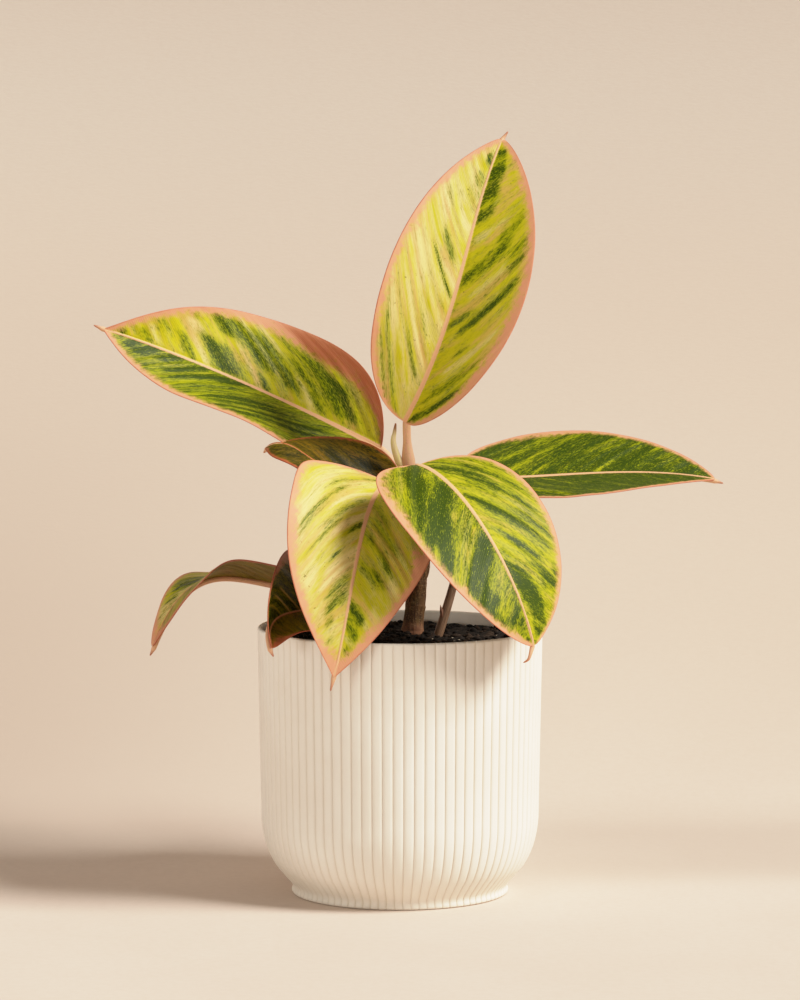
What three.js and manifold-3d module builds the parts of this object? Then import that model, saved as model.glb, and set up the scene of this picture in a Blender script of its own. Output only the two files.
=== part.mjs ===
// A Chinese evergreen with salmon edged leaves in a ribbed pot, in millimetres, +Z up.
// The origin is the middle of the pot's underside, and the plant faces -Y.
import * as THREE from 'three';
import { mergeVertices } from 'three/addons/utils/BufferGeometryUtils.js';
import Module from 'manifold-3d';

const wasm = await Module();
wasm.setup();

// Gap kept wherever two pieces touch.
const clearance = 0.3;

// The pot: a slightly tapered wall with a round bend down to a straight foot, and upright ribs
// with a groove a little right of the front, in degrees.
const potSize = {
  height: 131.5,
  rimRadius: 70,
  bendRadius: 68.3,
  bendHeight: 40,
  neckRadius: 53.3,
  neckHeight: 8,
  bendPower: 0.6,
  bendRows: [8, 12, 18.5, 28, 40],
  ribs: 85,
  ribDepth: 0.7,
  firstGroove: 1.45,
  wall: 2.2,
  floor: 11,
  innerSides: 48,
};

// The potting soil, filled to just under the rim, with low uneven ground.
const soilSize = { belowRim: 5, relief: 0.8, rings: [16, 36, 54] };

// The woody main stem: points up its middle, a radius at each, and old leaf scars as rings.
const stemSize = {
  middle: [[6, 2, 101], [6, 2.5, 126.5], [8.5, 4, 148], [10.5, 6.5, 164], [9, 8.5, 180], [6.5, 10, 192]],
  radii: [4.2, 5.2, 4.6, 4.4, 4.3, 4],
  scars: 9,
  scarSwell: 0.35,
  steps: 27,
  sides: 12,
};

// Every blade has the same thickness and grid, and a midrib that runs on from its petiole.
const bladeSize = { thickness: 0.8, columns: 8, rows: 13, leastHalfWidth: 1 };
const ribSize = { sides: 7, petioleSteps: 8, bladeSteps: 8, tipRadius: 0.75, dripRadius: 0.5 };

// For each leaf: the petiole's bends from its root to the blade, the four points that bend the
// blade's middle line, the way its upper face looks at base and tip, and for its two halves the
// width, the place of the widest part, the fullness of the outline, the fold in degrees at the
// base and at the tip, and the curl. The drip is the thin point past the tip.
const leaves = {
  leaf_top: {
    petiole: [[6.5, 10, 188], [5, 10.5, 200], [3.2, 8.5, 218]],
    petioleRadii: [3.4, 2],
    sheathEnd: 0.72,
    middle: [[2.5, 6.5, 231.5], [30, -2.5, 284], [32, 11, 327.5], [50.5, 35, 370]],
    face: [[0.15, -0.6, 0.8], [0.05, -0.65, 0.75]],
    halves: {
      width: [37.5, 38.5],
      widest: [0.36, 0.39],
      full: [1.3, 1.2],
      fold: [[31, 31], [8, 8]],
      curl: [6.5, 5],
    },
    drip: [53.5, 37, 373.5],
  },
  leaf_left: {
    petiole: [[8.5, 9, 182], [9, 24, 187], [2, 38, 206]],
    petioleRadii: [2.8, 1.9],
    sheathEnd: 0.4,
    middle: [[-9.5, 37, 216], [-46.5, 52, 234], [-110, 39.5, 264.5], [-146.5, 21, 276.5]],
    face: [[-0.77, -0.25, 0.58], [0.96, -0.07, -0.25]],
    halves: {
      width: [38, 40],
      widest: [0.43, 0.39],
      full: [1.75, 1.8],
      fold: [[18, 18], [16, 16]],
      curl: [1, 7.5],
    },
    drip: [-151, 19, 278.5],
  },
  leaf_small: {
    petiole: [[9.5, 8, 172], [-6, 15, 176], [3, 19, 200]],
    petioleRadii: [2.4, 1.5],
    sheathEnd: 0.4,
    middle: [[0.5, 15, 204], [-37.5, -1.5, 193], [-49.5, -21, 233], [-65.5, -10, 220]],
    face: [[0.4, -0.75, 0.5], [-0.45, 0.05, 0.9]],
    halves: {
      width: [24, 26.5],
      widest: [0.54, 0.37],
      full: [1.8, 1.1],
      fold: [[15, 15], [-14, -14]],
      curl: [-10.5, -4.5],
    },
    drip: [-66.5, -8.5, 217.5],
  },
  leaf_front_left: {
    petiole: [[10, 7, 168], [-4, 3, 170], [-4, 4, 194]],
    petioleRadii: [2.8, 1.9],
    sheathEnd: 0.35,
    middle: [[-4.5, 2, 201.5], [-19.5, -38, 204], [-21.5, -72, 155], [-31.5, -75, 115.5]],
    face: [[0.2, 0.75, 0.65], [0, -1, 0]],
    halves: {
      width: [36, 41.5],
      widest: [0.4, 0.38],
      full: [1.85, 1.75],
      fold: [[8, 27], [5, 5]],
      curl: [10, 3.5],
    },
    drip: [-33, -75.5, 109.5],
  },
  leaf_front_right: {
    petiole: [[9.5, 8, 178], [15, -1, 184], [6, -11, 215]],
    petioleRadii: [2.8, 1.9],
    sheathEnd: 0.35,
    middle: [[9, -20, 212.5], [30.5, -45.5, 209], [56.5, -74, 163.5], [63.5, -68.5, 130]],
    face: [[0.05, -0.25, 0.95], [0.55, -0.7, 0.45]],
    halves: {
      width: [41.5, 44.5],
      widest: [0.43, 0.33],
      full: [1.1, 1.2],
      fold: [[5, 5], [-9, -9]],
      curl: [3.5, 2.5],
    },
    drip: [61, -71, 124.5],
  },
  leaf_right: {
    petiole: [[10.5, 8, 101], [22, 8, 136], [38, 8, 178]],
    petioleRadii: [2.3, 1.9],
    sheathEnd: 0.5,
    middle: [[30, 11.5, 204.5], [64, 23, 199.5], [110, 28.5, 210], [157, 32.5, 201]],
    face: [[-0.25, -0.35, 0.9], [0.35, -0.4, 0.85]],
    halves: {
      width: [36, 36],
      widest: [0.39, 0.39],
      full: [1.3, 1.35],
      fold: [[4, 4], [14, 14]],
      curl: [4, 4],
    },
    drip: [161, 33, 199],
  },
  leaf_low_left: {
    petiole: [[7.5, 4, 138], [5, 16, 138], [8, 24, 148.5]],
    petioleRadii: [2.6, 1.8],
    sheathEnd: 0.4,
    middle: [[2, 24, 147.5], [-70, 27, 133.5], [-95.5, 15.5, 186], [-122.5, 9.5, 119.5]],
    face: [[0.35, 0.25, 0.9], [-0.9, -0.25, -0.4]],
    halves: {
      width: [35, 36],
      widest: [0.41, 0.43],
      full: [1.35, 1.3],
      fold: [[17, 17], [5, 5]],
      curl: [-8.5, 5.5],
    },
    drip: [-123.5, 9.5, 115.5],
  },
  leaf_low_dark: {
    petiole: [[10, 6, 159], [7, -1, 157], [6.5, -4.5, 154.5]],
    petioleRadii: [2.4, 1.7],
    sheathEnd: 0.4,
    middle: [[2.5, -6, 152.5], [-38.5, -22, 133], [-68.5, -54, 155], [-61, -67, 128.5]],
    face: [[-0.25, 0.05, 0.95], [0.7, -0.7, 0.2]],
    halves: {
      width: [31.5, 31],
      widest: [0.45, 0.44],
      full: [1.2, 1.25],
      fold: [[31, 31], [42, 42]],
      curl: [14.5, 9],
    },
    drip: [-60, -68, 125],
  },
};

// The narrow new shoot that stands in the sheath of the top leaf.
const shootSize = {
  middle: [[4.5, 10, 204], [-0.5, 8.5, 212], [-3.2, 7.3, 221], [-2.6, 6.8, 227], [-2.1, 6.5, 231]],
  radii: [1.4, 2, 1.4, 0.9, 0.4],
  steps: 10,
  sides: 7,
};

const materials = {
  pot: new THREE.MeshStandardMaterial({ color: 0xe9dfd0, roughness: 0.5, metalness: 0 }),
  soil: new THREE.MeshStandardMaterial({ color: 0x2a211b, roughness: 0.95, metalness: 0 }),
  stem: new THREE.MeshStandardMaterial({ color: 0x8a6f52, roughness: 0.7, metalness: 0 }),
  leaf: new THREE.MeshStandardMaterial({ color: 0x9aa83a, roughness: 0.4, metalness: 0 }),
};

const vector = (point) => new THREE.Vector3(...point);

function solidOf(geometry) {
  const bare = geometry.clone();
  bare.deleteAttribute('normal');
  bare.deleteAttribute('uv');
  const merged = mergeVertices(bare, 1e-4);
  const vertProperties = new Float32Array(merged.attributes.position.array);
  const triVerts = new Uint32Array(merged.index.array);
  return new wasm.Manifold(new wasm.Mesh({ numProp: 3, vertProperties, triVerts }));
}

function geometryOf(solid) {
  const mesh = solid.getMesh();
  const geometry = new THREE.BufferGeometry();
  geometry.setAttribute('position', new THREE.BufferAttribute(Float32Array.from(mesh.vertProperties), 3));
  geometry.setIndex(new THREE.BufferAttribute(Uint32Array.from(mesh.triVerts), 1));
  geometry.computeVertexNormals();
  return geometry;
}

// A round bar of changing radius along a row of points: a cylinder whose rings are moved one by one.
function bar(points, radii, sides) {
  const steps = points.length - 1;
  const geometry = new THREE.CylinderGeometry(1, 1, steps, sides, steps);
  const frames = [];
  let across = new THREE.Vector3(1, 0, 0);
  points.forEach((point, i) => {
    const before = points[Math.max(i - 1, 0)];
    const after = points[Math.min(i + 1, steps)];
    const along = after.clone().sub(before).normalize();
    across = across.clone().addScaledVector(along, -across.dot(along)).normalize();
    frames.push({ point, across, over: along.clone().cross(across), radius: radii[i] });
  });
  const position = geometry.attributes.position;
  const place = new THREE.Vector3();
  for (let i = 0; i < position.count; i += 1) {
    const ring = Math.round(position.getY(i) + steps / 2);
    const frame = frames[ring];
    place.copy(frame.point);
    place.addScaledVector(frame.across, position.getZ(i) * frame.radius);
    place.addScaledVector(frame.over, position.getX(i) * frame.radius);
    position.setXYZ(i, place.x, place.y, place.z);
  }
  return geometry;
}

// The same bar, grown by the clearance on its side and at both ends.
function grownBar(points, radii, sides) {
  const last = points.length - 1;
  const longer = points.map((point) => point.clone());
  longer[0].addScaledVector(points[0].clone().sub(points[1]).normalize(), clearance);
  longer[last].addScaledVector(points[last].clone().sub(points[last - 1]).normalize(), clearance);
  const gap = clearance / Math.cos(Math.PI / sides);
  return bar(longer, radii.map((radius) => radius + gap), sides);
}

// The value at a fraction of the way through an evenly spaced list.
function along(list, fraction) {
  const place = fraction * (list.length - 1);
  const i = Math.min(Math.floor(place), list.length - 2);
  return THREE.MathUtils.lerp(list[i], list[i + 1], place - i);
}

function potRadius(z) {
  const { rimRadius, bendRadius, bendHeight, neckRadius, neckHeight, height, bendPower } = potSize;
  if (z >= bendHeight) return THREE.MathUtils.mapLinear(z, bendHeight, height, bendRadius, rimRadius);
  if (z <= neckHeight) return neckRadius;
  const drop = (bendHeight - z) / (bendHeight - neckHeight);
  return neckRadius + (bendRadius - neckRadius) * (1 - drop * drop) ** bendPower;
}

function buildPot() {
  const rows = [0, ...potSize.bendRows, potSize.height];
  const profile = [new THREE.Vector2(0, 0)];
  rows.forEach((z) => profile.push(new THREE.Vector2(potRadius(z), z)));
  profile.push(new THREE.Vector2(0, potSize.height));
  const outside = new THREE.LatheGeometry(profile, potSize.ribs * 3);
  // Every third column is a groove between two ribs.
  const position = outside.attributes.position;
  const groove = (2 * Math.PI) / potSize.ribs;
  for (let i = 0; i < position.count; i += 1) {
    const radius = Math.hypot(position.getX(i), position.getZ(i));
    const turn = Math.atan2(position.getX(i), position.getZ(i)) / groove;
    const isGroove = Math.abs(turn - Math.round(turn)) < 0.1;
    const scale = isGroove && radius > 1 ? (radius - potSize.ribDepth) / radius : 1;
    position.setX(i, position.getX(i) * scale);
    position.setZ(i, position.getZ(i) * scale);
  }
  outside.rotateX(Math.PI / 2);
  outside.rotateZ(THREE.MathUtils.degToRad(potSize.firstGroove));
  const inside = new THREE.LatheGeometry(innerProfile(0, potSize.height + 5), potSize.innerSides);
  inside.rotateX(Math.PI / 2);
  return solidOf(outside).subtract(solidOf(inside));
}

// The pot's hollow from its floor to the given top, made smaller by the given gap.
function innerProfile(gap, top) {
  const { wall, floor, bendHeight, neckRadius, bendRows } = potSize;
  const inner = (z) => potRadius(z) - wall - gap;
  const bottom = floor + gap;
  const profile = [new THREE.Vector2(0, bottom), new THREE.Vector2(neckRadius - wall - gap, bottom)];
  bendRows.filter((z) => z > floor + 2).forEach((z) => profile.push(new THREE.Vector2(inner(z), z)));
  profile.push(new THREE.Vector2(inner(top), top));
  profile.push(new THREE.Vector2(0, top));
  return profile;
}

function buildSoil(cuts) {
  const top = potSize.height - soilSize.belowRim;
  const profile = innerProfile(clearance, top);
  profile.pop();
  [...soilSize.rings].reverse().forEach((radius) => profile.push(new THREE.Vector2(radius, top)));
  profile.push(new THREE.Vector2(0, top));
  const ground = new THREE.LatheGeometry(profile, potSize.innerSides);
  ground.rotateX(Math.PI / 2);
  const position = ground.attributes.position;
  for (let i = 0; i < position.count; i += 1) {
    const x = position.getX(i);
    const y = position.getY(i);
    const swell = Math.sin(0.11 * x + 1.3) * Math.cos(0.13 * y - 0.4) + 0.5 * Math.sin(0.31 * x - 0.23 * y);
    if (Math.abs(position.getZ(i) - top) < 0.01) position.setZ(i, top + soilSize.relief * swell);
  }
  return cuts.reduce((soil, cut) => soil.subtract(cut), solidOf(ground));
}

function stemPath() {
  const curve = new THREE.CatmullRomCurve3(stemSize.middle.map(vector));
  const points = [];
  const radii = [];
  for (let i = 0; i <= stemSize.steps; i += 1) {
    const fraction = i / stemSize.steps;
    const scar = i % (stemSize.steps / stemSize.scars) === 0 ? stemSize.scarSwell : 0;
    points.push(curve.getPoint(fraction));
    radii.push(along(stemSize.radii, fraction) + scar);
  }
  return { points, radii };
}

// The outline's half width from base to tip, as a share of the widest.
function outline(s, widest, full) {
  const body = (s / widest) ** widest * ((1 - s) / (1 - widest)) ** (1 - widest);
  return body ** full;
}

// The middle line of a blade at s, with the ways along it, out of its upper face and to its right half.
function bladeFrame(leaf, s) {
  const curve = new THREE.CubicBezierCurve3(...leaf.middle.map(vector));
  const forward = curve.getTangent(s);
  const base = vector(leaf.face[0]).normalize();
  const tip = vector(leaf.face[1]).normalize();
  const face = base.lerp(tip, s);
  const side = forward.clone().cross(face).normalize();
  return { middle: curve.getPoint(s), forward, side, face: side.clone().cross(forward) };
}

// A point of the blade at s from base to tip and t from edge (-1) to edge (1), lifted off its middle.
function bladePoint(leaf, s, t, lift) {
  const { halves } = leaf;
  const frame = bladeFrame(leaf, s);
  const half = t < 0 ? 0 : 1;
  const reach = halves.width[half] * outline(s, halves.widest[half], halves.full[half]);
  const width = Math.max(reach, bladeSize.leastHalfWidth);
  const foldDegrees = THREE.MathUtils.lerp(halves.fold[0][half], halves.fold[1][half], s);
  const fold = THREE.MathUtils.degToRad(foldDegrees);
  const curl = THREE.MathUtils.degToRad(halves.curl[half]);
  const turned = fold + curl * Math.abs(t);
  const out = (width * (Math.sin(turned) - Math.sin(fold))) / curl;
  const up = (width * (Math.cos(fold) - Math.cos(turned))) / curl;
  const tilt = t === 0 ? 0 : turned;
  return frame.middle
    .addScaledVector(frame.side, Math.sign(t) * (out - lift * Math.sin(tilt)))
    .addScaledVector(frame.face, up + lift * Math.cos(tilt));
}

function buildBlade(leaf) {
  const { rows, columns, thickness } = bladeSize;
  const vertices = [];
  const triangles = [];
  const layer = (rows + 1) * (columns + 1);
  for (const lift of [thickness / 2, -thickness / 2]) {
    for (let i = 0; i <= rows; i += 1) {
      const even = i / rows;
      const eased = 0.5 - 0.5 * Math.cos(Math.PI * even);
      const s = THREE.MathUtils.lerp(0.01, 0.985, (even + eased) / 2);
      for (let j = 0; j <= columns; j += 1) {
        vertices.push(...bladePoint(leaf, s, (2 * j) / columns - 1, lift).toArray());
      }
    }
  }
  const at = (i, j) => i * (columns + 1) + j;
  for (let i = 0; i < rows; i += 1) {
    for (let j = 0; j < columns; j += 1) {
      const corners = [at(i, j), at(i, j + 1), at(i + 1, j + 1), at(i + 1, j)];
      const [a, b, c, d] = corners;
      const [e, f, g, h] = corners.map((corner) => corner + layer);
      triangles.push(a, b, c, a, c, d, e, g, f, e, h, g);
    }
  }
  // The rim joins the two faces all the way round.
  const rim = [];
  for (let j = 0; j < columns; j += 1) rim.push(at(0, j));
  for (let i = 0; i < rows; i += 1) rim.push(at(i, columns));
  for (let j = columns; j > 0; j -= 1) rim.push(at(rows, j));
  for (let i = rows; i > 0; i -= 1) rim.push(at(i, 0));
  rim.forEach((near, k) => {
    const next = rim[(k + 1) % rim.length];
    triangles.push(near, near + layer, next, next, near + layer, next + layer);
  });
  const geometry = new THREE.BufferGeometry();
  geometry.setAttribute('position', new THREE.Float32BufferAttribute(vertices, 3));
  geometry.setIndex(triangles);
  return geometry;
}

// The petiole, the midrib under the blade and the drip tip are one bar.
function ribPath(leaf) {
  const [rootRadius, petioleRadius] = leaf.petioleRadii;
  const under = (frame, radius) => frame.middle.addScaledVector(frame.face, clearance - radius);
  const join = under(bladeFrame(leaf, 0), petioleRadius);
  const petiole = new THREE.CubicBezierCurve3(...leaf.petiole.map(vector), join);
  const points = [];
  const radii = [];
  for (let i = 0; i < ribSize.petioleSteps; i += 1) {
    const fraction = i / ribSize.petioleSteps;
    const slim = THREE.MathUtils.smoothstep(fraction, leaf.sheathEnd - 0.2, leaf.sheathEnd + 0.1);
    points.push(petiole.getPoint(fraction));
    radii.push(THREE.MathUtils.lerp(rootRadius, petioleRadius, slim));
  }
  for (let i = 0; i <= ribSize.bladeSteps; i += 1) {
    const s = i / ribSize.bladeSteps;
    const radius = THREE.MathUtils.lerp(petioleRadius, ribSize.tipRadius, s ** 0.7);
    points.push(under(bladeFrame(leaf, s), radius));
    radii.push(radius);
  }
  points.push(vector(leaf.drip));
  radii.push(ribSize.dripRadius);
  return { points, radii };
}

function buildLeaf(leaf, cut) {
  const { points, radii } = ribPath(leaf);
  return solidOf(buildBlade(leaf)).add(solidOf(bar(points, radii, ribSize.sides))).subtract(cut);
}

function buildShoot() {
  const curve = new THREE.CatmullRomCurve3(shootSize.middle.map(vector));
  const fractions = Array.from({ length: shootSize.steps + 1 }, (_, i) => i / shootSize.steps);
  const points = fractions.map((fraction) => curve.getPoint(fraction));
  const radii = fractions.map((fraction) => along(shootSize.radii, fraction));
  return solidOf(bar(points, radii, shootSize.sides));
}

function addPiece(group, name, solid, material) {
  const mesh = new THREE.Mesh(geometryOf(solid), material.clone());
  mesh.name = name;
  group.add(mesh);
}

const plant = new THREE.Group();
const stem = stemPath();
const stemGrown = solidOf(grownBar(stem.points, stem.radii, stemSize.sides));
const shootFoot = ribPath(leaves.leaf_right);
const shootGrown = solidOf(grownBar(shootFoot.points, shootFoot.radii, ribSize.sides));

addPiece(plant, 'pot', buildPot(), materials.pot);
addPiece(plant, 'soil', buildSoil([stemGrown, shootGrown]), materials.soil);
addPiece(plant, 'stem', solidOf(bar(stem.points, stem.radii, stemSize.sides)), materials.stem);
for (const [name, leaf] of Object.entries(leaves)) {
  const solid = buildLeaf(leaf, stemGrown);
  addPiece(plant, name, name === 'leaf_top' ? solid.add(buildShoot()) : solid, materials.leaf);
}

export default plant;
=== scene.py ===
import math
import random

import bmesh
import bpy
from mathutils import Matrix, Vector, noise


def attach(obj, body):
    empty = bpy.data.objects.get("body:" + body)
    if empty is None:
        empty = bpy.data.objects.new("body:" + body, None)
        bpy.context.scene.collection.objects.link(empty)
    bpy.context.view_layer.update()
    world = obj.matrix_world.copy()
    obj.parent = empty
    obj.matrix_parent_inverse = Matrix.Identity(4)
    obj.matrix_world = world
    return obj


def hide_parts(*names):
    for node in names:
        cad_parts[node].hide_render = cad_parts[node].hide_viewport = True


# A Chinese evergreen with salmon edged leaves in a ribbed pot. Sizes are in millimetres.
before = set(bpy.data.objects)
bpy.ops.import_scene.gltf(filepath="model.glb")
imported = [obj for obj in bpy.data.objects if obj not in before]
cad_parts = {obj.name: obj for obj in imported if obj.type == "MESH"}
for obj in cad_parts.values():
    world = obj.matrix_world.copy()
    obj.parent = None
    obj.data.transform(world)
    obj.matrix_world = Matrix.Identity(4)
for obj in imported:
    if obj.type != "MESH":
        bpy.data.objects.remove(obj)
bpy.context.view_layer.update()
mm = 0.001


# Small helps for numbers and colours

def mixed(low, high, share):
    return low + (high - low) * share


def eased(value, low, high):
    x = min(max((value - low) / (high - low), 0), 1)
    return x * x * (3 - 2 * x)


def hump(value, middle, breadth):
    return math.exp(-((value - middle) / breadth) ** 2)


def tint(red, green, blue):  # a colour as it looks on screen, made linear
    return tuple((c / 255) ** 2.2 for c in (red, green, blue)) + (1,)


def curvePoint(points, s):  # a cubic curve and the way along it
    a, b, c, d = [Vector(p) for p in points]
    r = 1 - s
    place = a * r**3 + b * 3 * r * r * s + c * 3 * r * s * s + d * s**3
    ahead = (b - a) * r * r + (c - b) * 2 * r * s + (d - c) * s * s
    return place, ahead.normalized()


def splinePoint(points, share):  # a smooth curve through every point
    spans = len(points) - 1
    i = min(int(share * spans), spans - 1)
    x = share * spans - i
    p = [Vector(q) for q in points]
    before = p[i - 1] if i > 0 else p[0] * 2 - p[1]
    after = p[i + 2] if i < spans - 1 else p[-1] * 2 - p[-2]
    a = p[i] * 2
    b = (p[i + 1] - before) * x
    c = (before * 2 - p[i] * 5 + p[i + 1] * 4 - after) * x * x
    d = (p[i] * 3 - before - p[i + 1] * 3 + after) * x**3
    return (a + b + c + d) / 2


def listPlace(values, share):  # a value a share of the way through a list
    place = share * (len(values) - 1)
    i = min(int(place), len(values) - 2)
    return mixed(values[i], values[i + 1], place - i)


# Shader maths: the operators on a Wire add Math nodes, and Finish.node adds any other node

class Wire:
    def __init__(self, finish, socket):
        self.finish = finish
        self.socket = socket

    def maths(self, operation, *values):
        return self.finish.node("Math", {"operation": operation}, dict(enumerate(values)))

    def __add__(self, other):
        return self.maths("ADD", self, other)

    def __sub__(self, other):
        return self.maths("SUBTRACT", self, other)

    def __rsub__(self, other):
        return self.maths("SUBTRACT", other, self)

    def __mul__(self, other):
        return self.maths("MULTIPLY", self, other)

    def __truediv__(self, other):
        return self.maths("DIVIDE", self, other)

    def __rtruediv__(self, other):
        return self.maths("DIVIDE", other, self)

    def __pow__(self, other):
        return self.maths("POWER", self, other)

    __radd__ = __add__
    __rmul__ = __mul__

    def most(self, other):
        return self.maths("MAXIMUM", self, other)

    def side(self):
        return self.maths("SIGN", self)

    def wave(self):
        return self.maths("SINE", self)

    def step(self, low, high):  # a smooth step from 0 to 1, or down where low is above high
        settings = {"interpolation_type": "SMOOTHSTEP"}
        if low < high:
            return self.finish.node("MapRange", settings, {"Value": self, "From Min": low, "From Max": high})
        ends = {"Value": self, "From Min": high, "From Max": low, "To Min": 1, "To Max": 0}
        return self.finish.node("MapRange", settings, ends)

    def parts(self):
        split = self.finish.tree.nodes.new("ShaderNodeSeparateXYZ")
        self.finish.tree.links.new(self.socket, split.inputs[0])
        return [Wire(self.finish, output) for output in split.outputs]


class Finish:
    def __init__(self, name):
        self.material = bpy.data.materials.new(name)
        self.material.use_nodes = True
        self.tree = self.material.node_tree
        self.shader = self.tree.nodes["Principled BSDF"]

    def node(self, kind, settings, inputs, output=0):
        node = self.tree.nodes.new("ShaderNode" + kind)
        for name, value in settings.items():
            setattr(node, name, value)
        self.fill(node, inputs)
        return Wire(self, node.outputs[output])

    def fill(self, node, inputs):
        for name, value in inputs.items():
            if isinstance(value, Wire):
                self.tree.links.new(value.socket, node.inputs[name])
            else:
                node.inputs[name].default_value = value

    def coordinates(self):
        return self.node("TexCoord", {}, {}, "Object")

    def attribute(self, name, output="Vector"):
        return self.node("Attribute", {"attribute_name": name}, {}, output)

    def vector(self, x, y, z):
        return self.node("CombineXYZ", {}, {"X": x, "Y": y, "Z": z})

    def noise(self, vector, scale, detail=2, roughness=0.5, distortion=0):
        inputs = {"Vector": vector, "Scale": scale, "Detail": detail}
        inputs.update({"Roughness": roughness, "Distortion": distortion})
        return self.node("TexNoise", {}, inputs, "Fac")

    def cells(self, vector, scale):
        return self.node("TexVoronoi", {}, {"Vector": vector, "Scale": scale}, "Distance")

    def mix(self, share, first, second, blend="MIX"):  # colours, by a share of the second
        inputs = {0: share, 6: first, 7: second}
        return self.node("Mix", {"data_type": "RGBA", "blend_type": blend}, inputs, 2)

    def bump(self, height, strength, distance):
        return self.node("Bump", {}, {"Height": height, "Strength": strength, "Distance": distance})

    def surface(self, colour, roughness, normal, shine):
        inputs = {"Base Color": colour, "Roughness": roughness, "Normal": normal}
        inputs["Specular IOR Level"] = shine
        self.fill(self.shader, inputs)
        return self.material


# Mesh helps

def finishPiece(name, bm, materials, slot, *nodes):
    bmesh.ops.recalc_face_normals(bm, faces=bm.faces)
    for face in bm.faces:
        face.smooth = True
    bmesh.ops.scale(bm, vec=(mm, mm, mm), verts=bm.verts)
    mesh = bpy.data.meshes.new(name)
    bm.to_mesh(mesh)
    bm.free()
    piece = bpy.data.objects.new(name, mesh)
    bpy.context.scene.collection.objects.link(piece)
    for material in materials:
        mesh.materials.append(material)
    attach(piece, "root")
    if nodes:
        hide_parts(*nodes)
    print(name, len(mesh.polygons), "faces")


def pathFrames(points, radii):  # at each point, two ways square to the path that never twist
    frames = []
    across = Vector((1, 0, 0))
    last = len(points) - 1
    for i, point in enumerate(points):
        ahead = (points[min(i + 1, last)] - points[max(i - 1, 0)]).normalized()
        across = (across - ahead * across.dot(ahead)).normalized()
        frames.append((point, across, ahead.cross(across), radii[i]))
    return frames


def rollTube(bm, frames, sides, section=None, mark=None):
    # A flat grid is rolled round the path, then its seam and its closed ends are merged.
    steps = len(frames) - 1
    verts = bmesh.ops.create_grid(bm, x_segments=sides, y_segments=steps, size=1)["verts"]
    for v in verts:
        turn = math.pi * (v.co.x + 1)
        i = round((v.co.y + 1) / 2 * steps)
        point, across, over, radius = frames[i]
        reach = radius * (section(i / steps, turn) if section else 1)
        v.co = point + (across * math.cos(turn) + over * math.sin(turn)) * reach
        if mark:
            mark(v, i, turn)
    bmesh.ops.remove_doubles(bm, verts=verts, dist=0.001)


# The pot: a ribbed wall with a thin round lip, a bend down to a narrow foot and an inside, with painted shade
# on the inner wall near the rim

potSize = {
    "height": 131.5,
    "rimRadius": 70,
    "bendRadius": 68.3,
    "bendHeight": 40,
    "neckRadius": 53.3,
    "neckHeight": 8,
    "bendPower": 0.6,
    "underside": [(0, 1.2, 0), (44, 1.2, 0), (46.5, 0, 0)],
    "foot": [
        (51.4, 0), (53, 0.4), (53.5, 1.2), (53.1, 2.2), (52.9, 3.2),
        (53.2, 4.4), (54, 5.6), (55.2, 7), (57, 9),
    ],
    "bendRows": [10.8, 12.6, 14.4, 16.4, 18.8, 21.4, 24, 27, 30.5, 34, 37, 40],
    "wallRows": 16,
    "lipDrop": 3,
    "lipSteps": 8,
    "insideRows": [126, 120, 110, 95, 80, 65, 50, 40, 32, 25, 19, 15],
    "wall": 2.2,
    "floor": 11,
    "floorRadius": 44,
    "ribs": 85,
    "ribDepth": 0.7,
    "ribPower": 5,
    "firstGroove": 1.45,  # degrees right of the front
    "ribPlaces": [0, 0.03, 0.08, 0.17, 0.32, 0.5, 0.68, 0.83, 0.92, 0.97],
}


def potRadius(z):
    p = potSize
    if z >= p["bendHeight"]:
        share = (z - p["bendHeight"]) / (p["height"] - p["bendHeight"])
        return mixed(p["bendRadius"], p["rimRadius"], share)
    drop = (p["bendHeight"] - z) / (p["bendHeight"] - p["neckHeight"])
    return p["neckRadius"] + (p["bendRadius"] - p["neckRadius"]) * (1 - drop * drop) ** p["bendPower"]


def potProfile():  # radius, height and how far the ribs stand out, from the foot up and down the inside
    p = potSize
    profile = [*p["underside"]]
    profile += [(radius, z, eased(z, -0.5, 1.2)) for radius, z in p["foot"]]
    rise = p["height"] - p["bendHeight"] - p["lipDrop"]
    wallRows = [p["bendHeight"] + rise * (k + 1) / p["wallRows"] for k in range(p["wallRows"])]
    profile += [(potRadius(z), z, 1) for z in p["bendRows"] + wallRows]
    half = p["wall"] / 2
    for k in range(p["lipSteps"] + 1):
        turn = math.pi * k / p["lipSteps"]
        profile.append((
            p["rimRadius"] - half + half * math.cos(turn),
            p["height"] - half + half * math.sin(turn),
            0.8 - 0.1 * k,
        ))
    profile += [(potRadius(z) - p["wall"], z, -0.18 if z > 90 else 0) for z in p["insideRows"]]
    profile += [(p["floorRadius"], p["floor"], 0), (0, p["floor"], 0)]
    return profile


def ribHeight(share):  # across one rib, from groove to groove
    return 1 - abs(2 * share - 1) ** potSize["ribPower"]


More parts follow.
